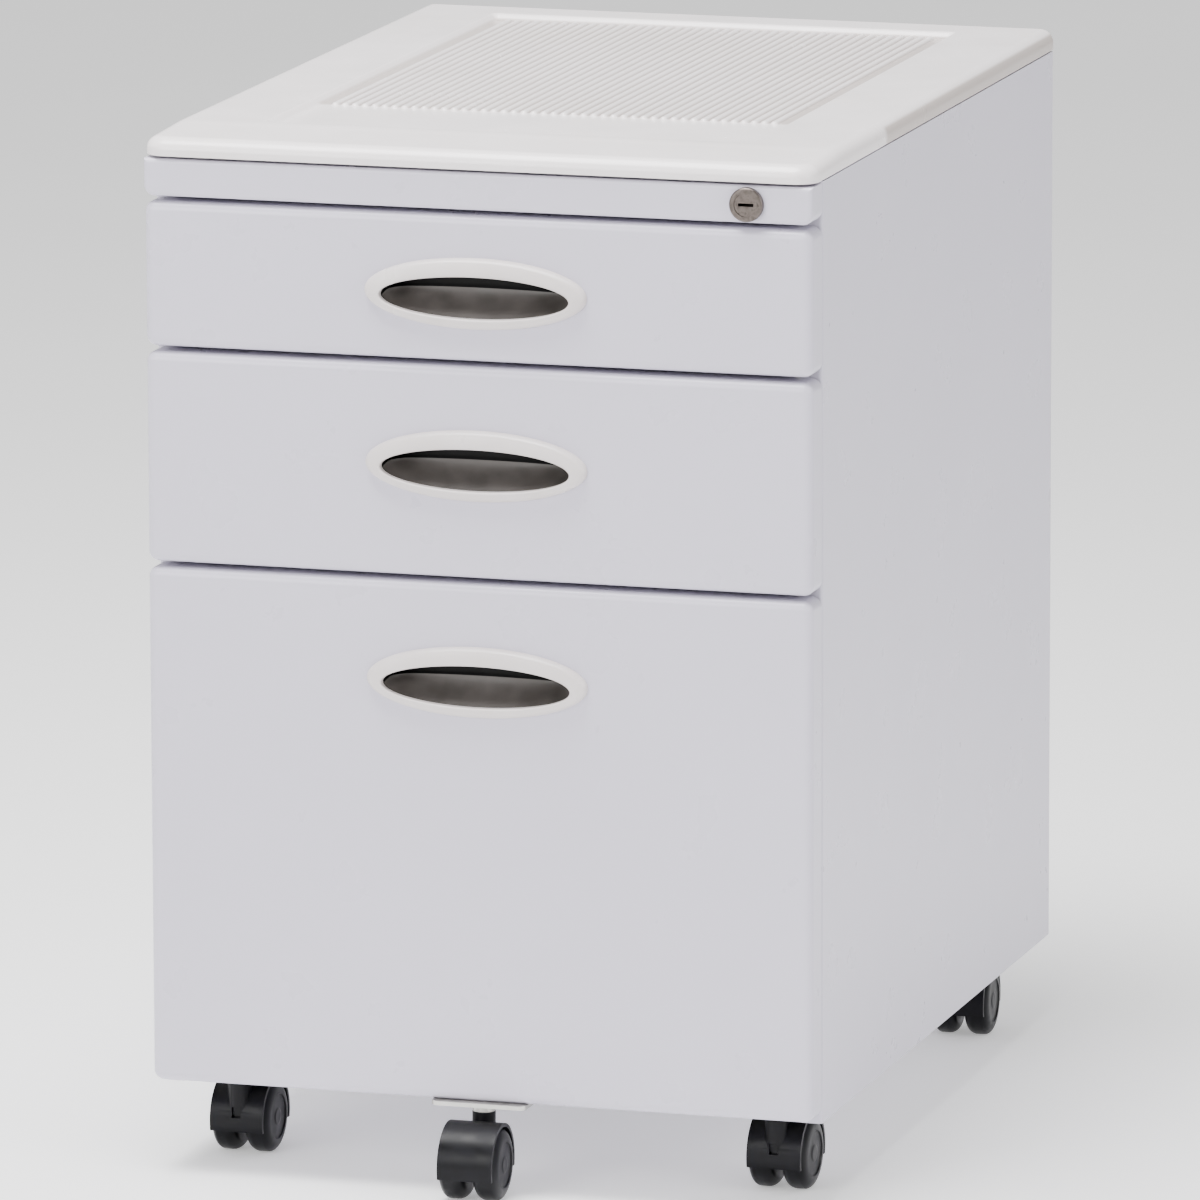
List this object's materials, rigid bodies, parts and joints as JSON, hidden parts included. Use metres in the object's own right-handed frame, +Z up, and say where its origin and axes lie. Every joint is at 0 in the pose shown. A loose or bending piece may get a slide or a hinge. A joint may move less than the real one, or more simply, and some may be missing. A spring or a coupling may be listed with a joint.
{
  "type": "mobile pedestal cabinet",
  "caption": "Mobile metal filing cabinet with three drawers, oval recessed handles, a lock rail, a ribbed resin top and twin-wheel casters.",
  "frame": {"origin": "bottom centre of the bounding box, on the floor", "axes": "+Z up, -Y towards the drawer fronts, +X to the right as seen from the front"},
  "size_m": [0.397, 0.5688, 0.6069],
  "materials": {
    "painted_steel": "light grey gloss powder coat",
    "cover_resin": "warm off-white moulded resin",
    "bezel_plastic": "satin light grey moulding",
    "cup_plastic": "dark grey moulding",
    "nickel": "worn nickel plating",
    "zinc_steel": "zinc-plated steel",
    "caster_nylon": "black moulded nylon"
  },
  "bodies": {
    "cabinet": {"left_side_panel": "painted_steel", "right_side_panel": "painted_steel", "back_panel": "painted_steel", "bottom_panel": "painted_steel", "inner_top_panel": "painted_steel", "front_uprights": "painted_steel", "rear_uprights": "painted_steel", "front_fascia": "painted_steel", "top_cover": "cover_resin", "top_cover_screws": "zinc_steel", "lock_housing": "nickel", "lock_nut": "zinc_steel", "lock_bar_guides": "zinc_steel", "drawer_1_slide_outer": "zinc_steel", "drawer_2_slide_outer": "zinc_steel", "drawer_3_slide_outer": "zinc_steel", "corner_caster_plates": "zinc_steel", "corner_caster_kingpins": "zinc_steel"},
    "lock_plug": {"lock_plug": "nickel", "lock_cam": "zinc_steel"},
    "lock_bar": {"lock_bar": "zinc_steel"},
    "drawer_1": {"drawer_1_front": "painted_steel", "drawer_1_handle_bezel": "bezel_plastic", "drawer_1_handle_cup": "cup_plastic", "drawer_1_tray": "painted_steel", "drawer_1_slide_inner": "zinc_steel"},
    "drawer_1_ball_cages": {"drawer_1_ball_cages": "zinc_steel"},
    "drawer_2": {"drawer_2_front": "painted_steel", "drawer_2_handle_bezel": "bezel_plastic", "drawer_2_handle_cup": "cup_plastic", "drawer_2_tray": "painted_steel", "drawer_2_slide_inner": "zinc_steel"},
    "drawer_2_ball_cages": {"drawer_2_ball_cages": "zinc_steel"},
    "drawer_3": {"drawer_3_front": "painted_steel", "drawer_3_handle_bezel": "bezel_plastic", "drawer_3_handle_cup": "cup_plastic", "drawer_3_tray": "painted_steel", "drawer_3_slide_inner": "zinc_steel", "drawer_3_caster_bracket": "zinc_steel", "fifth_caster_plate": "zinc_steel", "fifth_caster_kingpin": "zinc_steel"},
    "drawer_3_slide_middle": {"drawer_3_slide_middle": "zinc_steel"},
    "drawer_3_outer_ball_cages": {"drawer_3_outer_ball_cages": "zinc_steel"},
    "drawer_3_inner_ball_cages": {"drawer_3_inner_ball_cages": "zinc_steel"},
    "caster_front_left": {"caster_front_left_hood": "caster_nylon", "caster_front_left_axle": "zinc_steel"},
    "caster_front_left_wheels": {"caster_front_left_wheels": "caster_nylon"},
    "caster_front_right": {"caster_front_right_hood": "caster_nylon", "caster_front_right_axle": "zinc_steel"},
    "caster_front_right_wheels": {"caster_front_right_wheels": "caster_nylon"},
    "caster_rear_left": {"caster_rear_left_hood": "caster_nylon", "caster_rear_left_axle": "zinc_steel"},
    "caster_rear_left_wheels": {"caster_rear_left_wheels": "caster_nylon"},
    "caster_rear_right": {"caster_rear_right_hood": "caster_nylon", "caster_rear_right_axle": "zinc_steel"},
    "caster_rear_right_wheels": {"caster_rear_right_wheels": "caster_nylon"},
    "caster_fifth": {"caster_fifth_hood": "caster_nylon", "caster_fifth_axle": "zinc_steel"},
    "caster_fifth_wheels": {"caster_fifth_wheels": "caster_nylon"}
  },
  "joints": [
    {"name": "lock_turn", "type": "hinge", "parent": "cabinet", "child": "lock_plug", "pos_m": [0.1595, -0.25226, 0.58215], "axis": [0, 1, 0], "range_deg": [0, 90]},
    {"name": "lock_bar_slide", "type": "slide", "parent": "cabinet", "child": "lock_bar", "axis": [0, 0, -1], "range_m": [0, 0.00849]},
    {"name": "drawer_1_slide", "type": "slide", "parent": "cabinet", "child": "drawer_1", "axis": [0, -1, 0], "range_m": [0, 0.3375]},
    {"name": "drawer_1_ball_cages_slide", "type": "slide", "parent": "cabinet", "child": "drawer_1_ball_cages", "axis": [0, -1, 0], "range_m": [0, 0.16875]},
    {"name": "drawer_2_slide", "type": "slide", "parent": "cabinet", "child": "drawer_2", "axis": [0, -1, 0], "range_m": [0, 0.3375]},
    {"name": "drawer_2_ball_cages_slide", "type": "slide", "parent": "cabinet", "child": "drawer_2_ball_cages", "axis": [0, -1, 0], "range_m": [0, 0.16875]},
    {"name": "drawer_3_slide", "type": "slide", "parent": "cabinet", "child": "drawer_3", "axis": [0, -1, 0], "range_m": [0, 0.45]},
    {"name": "drawer_3_slide_middle_slide", "type": "slide", "parent": "cabinet", "child": "drawer_3_slide_middle", "axis": [0, -1, 0], "range_m": [0, 0.225]},
    {"name": "drawer_3_outer_ball_cages_slide", "type": "slide", "parent": "cabinet", "child": "drawer_3_outer_ball_cages", "axis": [0, -1, 0], "range_m": [0, 0.1125]},
    {"name": "drawer_3_inner_ball_cages_slide", "type": "slide", "parent": "cabinet", "child": "drawer_3_inner_ball_cages", "axis": [0, -1, 0], "range_m": [0, 0.3375]},
    {"name": "caster_front_left_swivel", "type": "hinge", "parent": "cabinet", "child": "caster_front_left", "pos_m": [-0.162, -0.19986, 0.0478], "axis": [0, 0, 1], "continuous": true},
    {"name": "caster_front_left_roll", "type": "hinge", "parent": "caster_front_left", "child": "caster_front_left_wheels", "pos_m": [-0.16156, -0.18287, 0.021], "axis": [0.9997, -0.0262, 0], "continuous": true},
    {"name": "caster_front_right_swivel", "type": "hinge", "parent": "cabinet", "child": "caster_front_right", "pos_m": [0.162, -0.19986, 0.0478], "axis": [0, 0, 1], "continuous": true},
    {"name": "caster_front_right_roll", "type": "hinge", "parent": "caster_front_right", "child": "caster_front_right_wheels", "pos_m": [0.16259, -0.18287, 0.021], "axis": [0.9994, -0.0349, 0], "continuous": true},
    {"name": "caster_rear_left_swivel", "type": "hinge", "parent": "cabinet", "child": "caster_rear_left", "pos_m": [-0.162, 0.20284, 0.0478], "axis": [0, 0, 1], "continuous": true},
    {"name": "caster_rear_left_roll", "type": "hinge", "parent": "caster_rear_left", "child": "caster_rear_left_wheels", "pos_m": [-0.1535, 0.21756, 0.021], "axis": [0.866, -0.5, 0], "continuous": true},
    {"name": "caster_rear_right_swivel", "type": "hinge", "parent": "cabinet", "child": "caster_rear_right", "pos_m": [0.162, 0.20284, 0.0478], "axis": [0, 0, 1], "continuous": true},
    {"name": "caster_rear_right_roll", "type": "hinge", "parent": "caster_rear_right", "child": "caster_rear_right_wheels", "pos_m": [0.16141, 0.21983, 0.021], "axis": [0.9994, 0.0349, 0], "continuous": true},
    {"name": "caster_fifth_swivel", "type": "hinge", "parent": "drawer_3", "child": "caster_fifth", "pos_m": [0, -0.24326, 0.0478], "axis": [0, 0, 1], "continuous": true},
    {"name": "caster_fifth_roll", "type": "hinge", "parent": "caster_fifth", "child": "caster_fifth_wheels", "pos_m": [0.00018, -0.26026, 0.021], "axis": [-0.9999, -0.0105, 0], "continuous": true}
  ],
  "couplings": [
    {"joint": "lock_turn", "follows": "lock_bar_slide", "rad_per_m": 185},
    {"joint": "drawer_1_ball_cages_slide", "follows": "drawer_1_slide", "ratio": 0.5},
    {"joint": "drawer_2_ball_cages_slide", "follows": "drawer_2_slide", "ratio": 0.5},
    {"joint": "drawer_3_slide_middle_slide", "follows": "drawer_3_slide", "ratio": 0.5},
    {"joint": "drawer_3_outer_ball_cages_slide", "follows": "drawer_3_slide", "ratio": 0.25},
    {"joint": "drawer_3_inner_ball_cages_slide", "follows": "drawer_3_slide", "ratio": 0.75}
  ]
}
